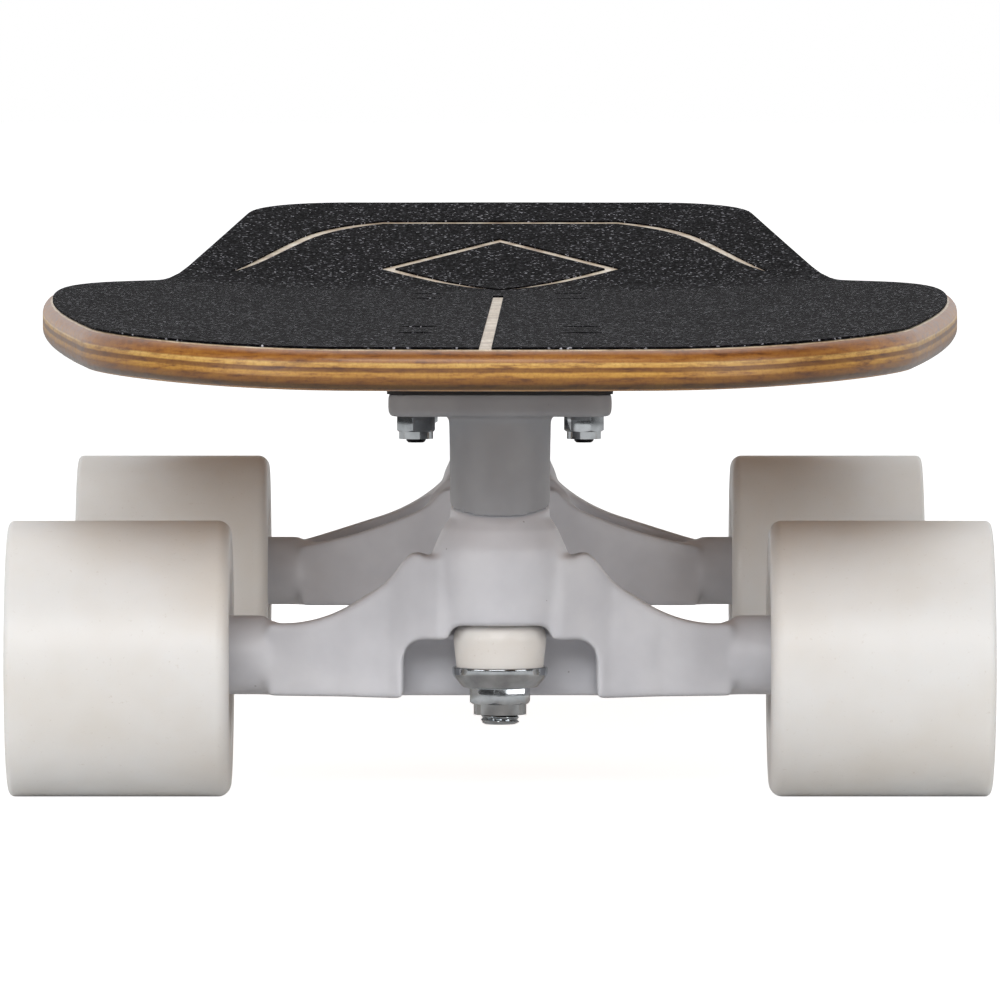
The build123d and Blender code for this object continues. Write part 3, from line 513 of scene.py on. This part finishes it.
@dataclass(frozen=True)
class Moulded(Finish):
    """Injection-moulded nylon or pressed rubber: one even colour with a lightly sparked mould texture."""

    shade: str = "#c9c6c0"
    shade_spacing: float = 9.091 * MM
    texture: float = 0.6 * MM
    texture_height: float = 0.04 * MM
    glow: float = 0.0
    shine_through: float = 0.0  # how much brighter a sheet lit from behind looks than it lights

    def detail(self, tree: bpy.types.NodeTree, shader: bpy.types.Node) -> None:
        """Draw the mould's texture and a slow drift of tone.

        Args:
            tree: The material's node tree.
            shader: Its Principled shader.
        """
        make = partial(add_node, tree)
        place = make("TexCoord", output="Object")
        drift = make("TexNoise", {"Vector": place, "Scale": 1 / self.shade_spacing})
        base = make("ValToRGB", {0: drift}, stops=((0.3, self.shade), (0.65, self.colour)))
        tree.links.new(base, shader.inputs["Base Color"])
        sparked = {"Vector": place, "Scale": 1 / self.texture, "Detail": 3.0, "Roughness": 0.6}
        sparks = make("TexNoise", sparked)
        normal = make("Bump", {"Height": sparks, "Distance": self.texture_height, "Strength": 0.5})
        tree.links.new(normal, shader.inputs["Normal"])
        shader.inputs["Emission Color"].default_value = linear("#ffffff")
        seen = {0: make("LightPath", output="Is Camera Ray"), 1: self.shine_through, 2: self.glow}
        tree.links.new(make("Math", seen, operation="MULTIPLY_ADD"), shader.inputs["Emission Strength"])


GRIP = GripTape("grip tape", "#1f1e22", roughness=0.85)
DECK = LaminatedDeck("varnished bamboo and maple plies", "#a9743a", roughness=0.42)
CASTING = PaintedCasting("powder-coated cast aluminium", "#d3d4da", roughness=0.42)
# the baseplate wears the hanger's pale coat darkened to grey: painted shade where the deck overhead shades
# the plate
SHADED_PLATE_TONES = ("#919296", "#a2a3a6")
SHADED_PLATE_CASTING = PaintedCasting("pale-coated cast aluminium darkened as painted shade", "#98999d", roughness=0.5, tones=SHADED_PLATE_TONES)
WHEEL_URETHANE = CastUrethane("cast wheel urethane", "#ecebe9", roughness=0.4)
BUSHING_URETHANE = CastUrethane(
    "cast bushing urethane", "#ebe8e4", roughness=0.34, warm="#e8e2da", depth=1.5 * MM
)
ZINC = PlatedSteel("bright zinc-plated steel", "#c3c7ca", roughness=0.08, metallic=1.0, haze="#a2a6a9")
BEARING_STEEL = PlatedSteel("polished bearing steel", "#c9cbcc", roughness=0.12, metallic=1.0, haze="#adafb0")
BLACK_OXIDE = PlatedSteel("black-oxide steel", "#2b2b2e", roughness=0.34, metallic=1.0, haze="#1d1d1f")
RISER_RUBBER = Moulded("black riser rubber", "#1f1e1f", roughness=0.7, shade="#151415")
SEAL_RUBBER = Moulded("black seal rubber", "#222225", roughness=0.45, shade="#18181a", texture=0.4 * MM)
CORE_NYLON = Moulded("white moulded nylon", "#e9e6df", roughness=0.45, shade="#dcd8cf")
CAGE_NYLON = Moulded("natural nylon", "#e2d9c4", roughness=0.45, shade="#d4c9b0")
# a translucent sheet lit from below, so that it stays pale under the board
STUDIO_FLOOR = Moulded(
    "lit studio acrylic",
    "#e2e2e2",
    roughness=0.9,
    shade="#dfdfdf",
    texture=4 * MM,
    glow=0.04,
    shine_through=0.8,
)


# ------------------------------------------------------------------ mesh making
@dataclass
class Piece:
    """One visible piece: its name, body, finish, material slot and the CAD nodes that it stands for."""

    name: str
    body: str
    finish: Finish
    slot: str
    nodes: tuple[str, ...] = ()
    crease: float = math.radians(38)  # edges that turn further than this stay sharp

    def complete(self, mesh: bpy.types.Mesh) -> bpy.types.Object:
        """Turn a mesh in the row frame into the finished piece.

        Args:
            mesh: The piece's mesh, in metres.

        Returns:
            The new object, dressed and riding on its body.
        """
        mesh.shade_smooth()
        mesh.set_sharp_from_angle(angle=self.crease)
        made = bpy.data.objects.new(self.name, mesh)
        bpy.context.scene.collection.objects.link(made)
        self.finish.dress(made)
        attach(made, self.body)
        if self.nodes:
            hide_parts(*self.nodes)
        log.info("%s: %d faces on %s", self.name, len(mesh.polygons), self.body)
        return made


def rounded(corners: Sequence[tuple[float, float, float]], steps: int = 6) -> list[Point]:
    """Round the corners of an outline.

    Args:
        corners: Each corner's two coordinates and the radius that rounds it, 0 for a sharp one.
        steps: How many runs each rounding has.

    Returns:
        The outline's points, in the same order.
    """
    points: list[Point] = []
    for number, (u, v, radius) in enumerate(corners):
        here = Vector((u, v))
        before = (Vector(corners[number - 1][:2]) - here).normalized()
        after = (Vector(corners[(number + 1) % len(corners)][:2]) - here).normalized()
        half = before.angle(after) / 2
        if radius <= 0 or math.pi / 2 - half < STRAIGHT:
            points.append((u, v))
            continue
        centre = here + (before + after).normalized() * radius / math.sin(half)
        start = here + before * radius / math.tan(half) - centre
        finish = here + after * radius / math.tan(half) - centre
        for step in range(steps + 1):
            share = step / steps
            spoke = (start * (1 - share) + finish * share).normalized() * radius
            points.append(tuple(centre + spoke))
    return points


def ring_mesh(
    name: str,
    outline: Sequence[Point],
    place: Matrix,
    segments: int = 96,
    radius_at: Callable[[float, float, float], float] | None = None,
) -> bpy.types.Mesh:
    """Turn a closed outline of (along, radius) points about the local X axis.

    Args:
        name: The mesh's name.
        outline: The outline's points in millimetres.
        place: Takes the local frame, in metres, into the row frame.
        segments: How many segments go round.
        radius_at: Gives the radius at a place along, an outline radius and an angle, for threads.

    Returns:
        The mesh in the row frame, with its faces pointing out.
    """
    shell = bmesh.new()
    rows = []
    for along, radius in outline:
        row = []
        for number in range(segments if radius > 0 else 1):
            angle = 2 * math.pi * number / segments
            reach = radius_at(along, radius, angle) if radius_at else radius
            spot = Vector((along, reach * math.cos(angle), reach * math.sin(angle))) * MM
            row.append(shell.verts.new(place @ spot))
        rows.append(row)
    for number, row in enumerate(rows):
        after = rows[(number + 1) % len(rows)]
        if len(row) + len(after) == 2:
            continue
        for spoke in range(segments):
            corners = [row[spoke % len(row)], row[(spoke + 1) % len(row)]]
            corners += [after[(spoke + 1) % len(after)], after[spoke % len(after)]]
            shell.faces.new(list(dict.fromkeys(corners)))
    bmesh.ops.recalc_face_normals(shell, faces=shell.faces)
    mesh = bpy.data.meshes.new(name)
    shell.to_mesh(mesh)
    shell.free()
    return mesh


UPRIGHT = Matrix(((0, 1, 0, 0), (0, 0, 1, 0), (1, 0, 0, 0), (0, 0, 0, 1)))  # local X becomes Z


# ------------------------------------------------------------------ the pieces
@dataclass
class CastSkin:
    """The skin of a sand-cast and coated piece: its CAD shape with every edge and inner corner softened."""

    rounds: int  # how often every vertex is drawn towards the middle of its neighbours
    voxel: float = 0.62
    pull: float = 0.5  # the share of the way that it goes each time

    def build(self, piece: Piece, share: Callable[[np.ndarray], np.ndarray]) -> bpy.types.Object:
        """Soften a CAD node's shape into a piece of its own.

        Args:
            piece: The piece to make. Its first node gives the shape.
            share: Gives each vertex's share of the softening, from 0 to 1, from its place in metres.

        Returns:
            The finished piece.
        """
        blank = bpy.data.objects.new("blank", bpy.data.objects[piece.nodes[0]].data.copy())
        bpy.context.scene.collection.objects.link(blank)
        remesh = blank.modifiers.new("remesh", "REMESH")
        remesh.mode = "VOXEL"
        remesh.voxel_size = self.voxel * MM
        graph = bpy.context.evaluated_depsgraph_get()
        mesh = bpy.data.meshes.new_from_object(blank.evaluated_get(graph))
        bpy.data.objects.remove(blank)
        mesh.name = piece.name
        count = len(mesh.vertices)
        spots = np.empty(count * 3)
        mesh.vertices.foreach_get("co", spots)
        spots = spots.reshape(-1, 3)
        ends = np.empty(len(mesh.edges) * 2, dtype=np.int32)
        mesh.edges.foreach_get("vertices", ends)
        starts, finishes = ends.reshape(-1, 2).T
        links = np.bincount(starts, minlength=count) + np.bincount(finishes, minlength=count)
        pulls = (self.pull * share(spots))[:, None]
        for _ in range(self.rounds):
            total = np.empty_like(spots)
            for axis in range(3):
                total[:, axis] = np.bincount(starts, spots[finishes, axis], count)
                total[:, axis] += np.bincount(finishes, spots[starts, axis], count)
            spots += pulls * (total / links[:, None] - spots)
        mesh.vertices.foreach_set("co", spots.ravel())
        mesh.update()
        return piece.complete(mesh)


@dataclass
class Wheel:
    """One wheel's urethane tyre and moulded core."""

    truck: Truck
    side: Side
    inner_face: float = 66.3  # from the middle of the truck
    width: float = 54.8
    radius: float = 34.0
    inner_lip: float = 3.2  # roundings of the running surface's edges
    outer_lip: float = 1.5
    recess_radius: float = 22.0
    recess_depth: float = 10.0
    recess_edge: float = 1.2
    core_radius: float = 17.0
    core_end: float = 34.0
    seat_radius: float = 11.01
    seat_edge: float = 0.4
    web_radius: float = 7.5
    web_edge: float = 0.3
    web: tuple[float, float] = (17.0, 27.0)

    def build(self) -> None:
        """Turn the tyre and the core."""
        name = f"{self.truck.value}_{self.side.value}"
        body = f"{name}_wheel"
        sign = math.copysign(1.0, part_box(f"{name}_core")[0].x)
        outward = Matrix.Diagonal((sign, 1, 1, 1)) @ Matrix.Translation((self.inner_face * MM, 0, 0))
        place = Matrix.Translation(self.truck.axle) @ outward
        tyre = rounded(
            (
                (self.recess_depth, self.core_radius, 0),
                (0, self.recess_radius, self.recess_edge),
                (0, self.radius, self.inner_lip),
                (self.width, self.radius, self.outer_lip),
                (self.width, self.recess_radius, self.recess_edge),
                (self.core_end, self.core_radius, 0),
            ),
            steps=8,
        )
        node = f"{name}_tyre"
        piece = Piece(f"{node}_turned", body, WHEEL_URETHANE, "wheel_urethane", (node,))
        piece.complete(ring_mesh(piece.name, tyre, place, segments=192))
        core = rounded(
            (
                (self.recess_depth, self.seat_radius, self.seat_edge),
                (self.recess_depth, self.core_radius, 0),
                (self.core_end, self.core_radius, 0),
                (self.core_end, self.seat_radius, self.seat_edge),
                (self.web[1], self.seat_radius, 0),
                (self.web[1], self.web_radius, self.web_edge),
                (self.web[0], self.web_radius, self.web_edge),
                (self.web[0], self.seat_radius, 0),
            ),
            steps=3,
        )
        piece = Piece(f"{name}_core_moulded", body, CORE_NYLON, "core_plastic", (f"{name}_core",))
        piece.complete(ring_mesh(piece.name, core, place))


@dataclass(frozen=True)
class Blend:
    """A blend that keeps a casting as it is up to a distance, and softens it fully some way past that."""

    keep: float
    width: float
    least: float = 0.0

    def share(self, distance: np.ndarray) -> np.ndarray:
        """Return each place's share of the softening from its distance."""
        return np.clip((distance - self.keep) / self.width, self.least, 1)


@dataclass
class TruckLooks:
    """One truck's castings, lower bushing, cup washer and threaded kingpin."""

    truck: Truck
    kingpin_offset: float = -21.0
    kingpin_radius: float = 4.75
    kingpin_end: float = -14.9
    kingpin_chamfer: float = 1.1
    kingpin_top: float = 66.0
    kingpin_head: tuple[float, float] = (7.6, 4.6)
    head_gap: float = 0.2  # under the baseplate's top
    head_bevel: float = 0.8
    thread_pitch: float = 1.06
    thread_depth: float = 0.5
    thread_margin: float = 0.4  # plain shank at each end of the thread
    thread_rows: int = 60
    washer_foot: float = -5.8
    washer_radius: float = 11.7
    washer_height: float = 5.0
    washer_wall: float = 0.9
    washer_floor: float = 1.6
    washer_bend: float = 2.9  # height and width of the bend from the floor to the rim
    washer_inside: float = 3.2  # height at which the inside of the rim starts
    washer_flat: float = 2.6  # how far the flat foot stays inside the rim
    bushing_play: float = 0.2
    bushing_radius: float = 11.4
    bushing_foot_radius: float = 10.3
    bushing_foot: float = -4.2
    bushing_head: float = 9.63
    bushing_shoulder: float = 3.4
    bushing_taper: float = 0.8
    bushing_keep: float = 0.9  # the share of its height that the bushing keeps when squeezed
    pivot_tip: tuple[float, float, float] = (0.0, 25.6, 50.8)
    plate_top: float = 66.2
    seam: tuple[float, float] = (33.0, 39.5)  # heights between which the neck meets the post
    axle_blend: Blend = Blend(4.6, 1.5)
    tip_blend: Blend = Blend(8.0, 3.0)
    neck_blend: Blend = Blend(14.5, 2.0, least=0.1)
    top_blend: Blend = Blend(0.2, 1.2)
    bore_blend: Blend = Blend(6.0, 2.0)
    seam_blend: Blend = Blend(0.0, 3.0, least=0.1)

    def build(self) -> None:
        """Make the truck's softened castings and turned pieces."""
        end = self.truck.value
        node = f"{end}_hanger"
        hanger = Piece(f"{node}_cast", f"{end}_hanger_assembly", CASTING, "painted_casting", (node,))
        CastSkin(rounds=16).build(hanger, self.hanger_share)
        node = f"{end}_baseplate"
        # the baseplate's darker coat is painted shade from the deck above it
        plate = Piece(f"{node}_cast", "board", SHADED_PLATE_CASTING, "painted_casting", (node,))
        CastSkin(rounds=8).build(plate, self.plate_share)
        upright = self.truck.place @ Matrix.Translation((0, self.kingpin_offset * MM, 0)) @ UPRIGHT
        self.cup_washer(upright)
        self.bushing(upright)
        self.kingpin(upright)

    def in_truck(self, spots: np.ndarray) -> np.ndarray:
        """Take places in the row frame, in metres, into the truck's frame, in millimetres."""
        inverse = np.array(self.truck.place.inverted())
        return (spots @ inverse[:3, :3].T + inverse[:3, 3]) / MM

    def hanger_share(self, spots: np.ndarray) -> np.ndarray:
        """Keep the hanger's axle bore, pivot tip and neck as they are, and soften the rest.

        Args:
            spots: Places in the row frame, in metres.

        Returns:
            Each place's share of the softening.
        """
        local = self.in_truck(spots)
        bore = self.axle_blend.share(np.hypot(local[:, 1], local[:, 2]))
        tip = self.tip_blend.share(np.linalg.norm(local - np.array(self.pivot_tip), axis=1))
        below = self.seam_blend.share(self.seam[0] - local[:, 2])
        beside = self.neck_blend.share(np.hypot(local[:, 0], local[:, 1] - self.kingpin_offset))
        return bore * tip * np.maximum(below, beside)

    def plate_share(self, spots: np.ndarray) -> np.ndarray:
        """Keep the baseplate's flat top, its bores and its post's foot as they are, and soften the rest.

        Args:
            spots: Places in the row frame, in metres.

        Returns:
            Each place's share of the softening.
        """
        local = self.in_truck(spots)
        top = self.top_blend.share(self.plate_top - local[:, 2])
        bore = self.bore_blend.share(np.hypot(local[:, 0], local[:, 1] - self.kingpin_offset))
        foot = self.seam_blend.share(local[:, 2] - self.seam[1])
        return top * bore * foot

    def cup_washer(self, upright: Matrix) -> None:
        """Press the cup washer: a rounded bowl with an upright rim.

        Args:
            upright: Takes the kingpin's frame, with local X up, into the row frame.
        """
        foot, outer, wall = self.washer_foot, self.washer_radius, self.washer_wall
        rim = foot + self.washer_height
        bore = self.kingpin_radius + 0.01
        floor = foot + self.washer_floor
        outline = rounded(
            (
                (foot, bore, 0),
                (foot, outer - self.washer_flat, 0.8),
                (foot + self.washer_bend, outer, 2.4),
                (rim, outer, 0.4),
                (rim, outer - wall, 0.4),
                (foot + self.washer_inside, outer - wall, 1.4),
                (floor, outer - self.washer_bend, 0.3),
                (floor, bore, 0),
            )
        )
        end = self.truck.value
        piece = Piece(f"{end}_cup_washer_pressed", "board", ZINC, "zinc_steel", (f"{end}_lower_washer",))
        piece.complete(ring_mesh(piece.name, outline, upright))

    def bushing(self, upright: Matrix) -> None:
        """Cast the lower bushing with its rounded head.

        Args:
            upright: Takes the kingpin's frame, with local X up, into the row frame.
        """
        foot, head = self.bushing_foot, self.bushing_head
        bore = self.kingpin_radius + self.bushing_play
        outline = rounded(
            (
                (foot, bore, 0),
                (foot, self.bushing_foot_radius, 0.9),
                (head - self.bushing_shoulder, self.bushing_radius, 4.0),
                (head, self.bushing_radius - self.bushing_taper, 2.6),
                (head, bore, 0),
            )
        )
        end = self.truck.value
        name = f"{end}_lower_bushing_cast"
        piece = Piece(name, "board", BUSHING_URETHANE, "bushing_urethane", (f"{end}_lower_bushing",))
        made = piece.complete(ring_mesh(name, outline, upright))
        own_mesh(made)

    def kingpin(self, upright: Matrix) -> None:
        """Turn the kingpin with its rolled thread.

        Args:
            upright: Takes the kingpin's frame, with local X up, into the row frame.
        """
        head_radius, head_height = self.kingpin_head
        shoulder = self.kingpin_top - head_height
        head_top = self.kingpin_top - self.head_gap
        shank = self.kingpin_radius
        outline: list[Point] = [(self.kingpin_end, 0.0), (self.kingpin_end, shank - self.kingpin_chamfer)]
        thread_start = self.kingpin_end + self.thread_margin
        thread_end = self.washer_foot - self.thread_margin
        rise = (thread_end - thread_start) / self.thread_rows
        outline += [(thread_start + rise * number, shank) for number in range(self.thread_rows + 1)]
        outline += [
            (self.washer_foot, shank),
            (shoulder, shank),
            (shoulder, head_radius),
            (head_top - self.head_bevel, head_radius),
            (head_top, head_radius - self.head_bevel),
            (head_top, 0.0),
        ]

        def radius_at(along: float, radius: float, angle: float) -> float:
            """Cut the thread's groove into the shank below the washer.

            Args:
                along: How far along the kingpin the place is.
                radius: The shank's radius there.
                angle: The angle round the kingpin.

            Returns:
                The radius that is left.
            """
            if not thread_start - rise / 2 <= along <= thread_end + rise / 2:
                return radius
            turn = (along / self.thread_pitch + angle / (2 * math.pi)) % 1.0
            return radius - self.thread_depth * abs(2 * turn - 1)

        node = f"{self.truck.value}_kingpin"
        piece = Piece(f"{node}_turned", "board", ZINC, "zinc_steel", (node,))
        piece.complete(ring_mesh(piece.name, outline, upright, segments=64, radius_at=radius_at))


@dataclass
class Hardware:
    """The hexagon nuts and bolts, with their edges broken as tumbling leaves them."""

    frame: dict[str, Any]
    break_width: float = 0.22
    weld: float = 0.002  # vertices closer than this become one
    flat: float = math.radians(1.0)  # faces that turn less than this become one
    sharp: float = math.radians(25)  # edges that turn more than this are broken

    def build(self) -> None:
        """Break the edges of every nut and bolt."""
        for truck in Truck:
            end = truck.value
            rows = (
                ("kingpin_nut", "plated", "board", ZINC, "zinc_steel"),
                ("deck_nuts", "plated", "board", ZINC, "zinc_steel"),
                ("deck_bolts", "oxide", "board", BLACK_OXIDE, "black_steel"),
                ("axle_nuts", "plated", f"{end}_hanger_assembly", ZINC, "zinc_steel"),
            )
            for ending, coat, body, finish, slot in rows:
                node = f"{end}_{ending}"
                self.broken(Piece(f"{node}_{coat}", body, finish, slot, (node,)))

    def broken(self, piece: Piece) -> None:
        """Copy a CAD node's shape with a small bevel on each sharp edge.

        Args:
            piece: The piece to make. Its first node gives the shape.
        """
        shell = bmesh.new()
        shell.from_mesh(self.frame["nodes"][piece.nodes[0]].data)
        bmesh.ops.remove_doubles(shell, verts=shell.verts, dist=self.weld * MM)
        bmesh.ops.dissolve_limit(shell, angle_limit=self.flat, verts=shell.verts, edges=shell.edges)
        sharp = [e for e in shell.edges if len(e.link_faces) == 2 and e.calc_face_angle(0.0) > self.sharp]
        bmesh.ops.bevel(
            shell,
            geom=sharp,
            offset=self.break_width * MM,
            segments=2,
            profile=0.6,
            affect="EDGES",
            clamp_overlap=True,
        )
        mesh = bpy.data.meshes.new(piece.name)
        shell.to_mesh(mesh)
        shell.free()
        piece.complete(mesh)


@dataclass
class Dressing:
    """The finish that each CAD node wears, by the end of its name."""

    frame: dict[str, Any]

    def build(self) -> None:
        """Dress every CAD node."""
        finishes: dict[str, Finish] = {
            "deck": DECK,
            "griptape": GRIP,
            "griptape_diamond": GRIP,
            "riser_pad": RISER_RUBBER,
            # the baseplate's darker coat is painted shade from the deck above it
            "baseplate": SHADED_PLATE_CASTING,
            "hanger": CASTING,
            "pivot_cup": BUSHING_URETHANE,
            "upper_bushing": BUSHING_URETHANE,
            "lower_bushing": BUSHING_URETHANE,
            "kingpin": ZINC,
            "kingpin_nut": ZINC,
            "lower_washer": ZINC,
            "deck_nuts": ZINC,
            "deck_bolts": BLACK_OXIDE,
            "axle": BEARING_STEEL,
            "axle_nuts": ZINC,
            "speed_washers": ZINC,
            "bearing_spacers": BEARING_STEEL,
            "bearing_inner_rings": BEARING_STEEL,
            "bearing_outer_rings": BEARING_STEEL,
            "bearing_balls": BEARING_STEEL,
            "bearing_cages": CAGE_NYLON,
            "bearing_shields": SEAL_RUBBER,
            "tyre": WHEEL_URETHANE,
            "core": CORE_NYLON,
        }
        for ending, finish in finishes.items():
            pieces = [node for name, node in self.frame["nodes"].items() if name.endswith(ending)]
            finish.dress(*pieces)
            log.info("%d CAD nodes ending in %s wear %s", len(pieces), ending, finish.name)


# ------------------------------------------------------------------ the studio
@dataclass
class Studio:
    """A plain pale floor, soft lights overhead and in front, and the camera."""

    floor_size: float = 60.0
    # each softbox's name, place, width and height, and power in watts
    softboxes: tuple[tuple[str, tuple[float, float, float], tuple[float, float], float], ...] = (
        ("key softbox", (-0.3, -2.5, 1.0), (1.6, 0.8), 25.0),
        ("left softbox", (-1.7, -1.6, 0.45), (1.0, 0.6), 10.0),
        ("right softbox", (1.7, -1.6, 0.45), (1.0, 0.6), 10.0),
        ("top softbox", (0.0, 0.0, 1.6), (1.8, 1.4), 12.0),
    )
    lit_spot: tuple[float, float, float] = (0.0, -0.1, 0.08)  # where every softbox points
    room_light: float = 0.07
    sweep_light: float = 0.85
    sweep_turn: float = 0.55  # how far towards straight behind the sweep reaches its full light
    camera_distance: float = 2.970  # in front of the board's middle
    camera_height: float = 0.1805
    camera_dip: float = math.radians(2.28)
    camera_sensor: float = 36.0  # in millimetres, as is the lens
    camera_lens: float = 394.2
    camera_reach: float = 90.0

    def build(self) -> None:
        """Make the floor, the lights, the room and the camera."""
        self.floor()
        for name, place, size, power in self.softboxes:
            self.softbox(name, Vector(place), size, power)
        self.room()
        self.camera()
        bpy.context.scene.view_settings.view_transform = "Standard"

    def room(self) -> None:
        """Light the room: a white sweep behind the board and a dark room in front of it."""
        world = bpy.data.worlds.new("studio")
        bpy.context.scene.world = world
        world.use_nodes = True
        room = world.node_tree.nodes["Background"]
        room.inputs["Color"].default_value = linear("#ffffff")
        make = partial(add_node, world.node_tree)
        along = make("SeparateXYZ", {0: make("TexCoord", output="Generated")}, "Y")
        reach = {0: along, 1: 0.0, 2: self.sweep_turn, 3: self.room_light, 4: self.sweep_light}
        glow = make("MapRange", reach)
        seen = make("LightPath", output="Is Camera Ray")
        lit = make("Math", {0: seen, 1: glow}, operation="MAXIMUM")
        world.node_tree.links.new(lit, room.inputs["Strength"])

    def camera(self) -> None:
        """Stand the camera in front of the nose, a little above the deck."""
        data = bpy.data.cameras.new("camera")
        data.sensor_width = self.camera_sensor
        data.lens = self.camera_lens
        data.clip_end = self.camera_reach
        camera = bpy.data.objects.new("camera", data)
        bpy.context.scene.collection.objects.link(camera)
        camera.location = (0.0, -self.camera_distance, self.camera_height)
        camera.rotation_euler = (math.pi / 2 - self.camera_dip, 0.0, 0.0)
        bpy.context.scene.camera = camera

    def floor(self) -> None:
        """Lay the floor, a large pale sheet."""
        mesh = bpy.data.meshes.new("floor")
        half = self.floor_size / 2
        corners = [(-half, -half, 0), (half, -half, 0), (half, half, 0), (-half, half, 0)]
        mesh.from_pydata(corners, [], [(0, 1, 2, 3)])
        sheet = bpy.data.objects.new("floor", mesh)
        bpy.context.scene.collection.objects.link(sheet)
        STUDIO_FLOOR.dress(sheet)

    def softbox(self, name: str, place: Vector, size: tuple[float, float], power: float) -> None:
        """Hang a rectangular light that points at the board.

        Args:
            name: The light's name.
            place: Where its middle is.
            size: Its width and height in metres.
            power: Its power in watts.
        """
        data = bpy.data.lights.new(name, "AREA")
        data.shape = "RECTANGLE"
        data.size, data.size_y = size
        data.energy = power
        light = bpy.data.objects.new(name, data)
        bpy.context.scene.collection.objects.link(light)
        light.location = place
        light.rotation_mode = "QUATERNION"
        light.rotation_quaternion = (Vector(self.lit_spot) - place).to_track_quat("-Z", "Y")


def main() -> None:
    """Build the scene round the frame."""
    logging.basicConfig(level=logging.INFO, format="%(name)s: %(message)s")
    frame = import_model()
    Studio().build()
    Dressing(frame).build()
    for truck in Truck:
        TruckLooks(truck).build()
        for side in Side:
            Wheel(truck, side).build()
    Hardware(frame).build()


if __name__ == "__main__":
    main()
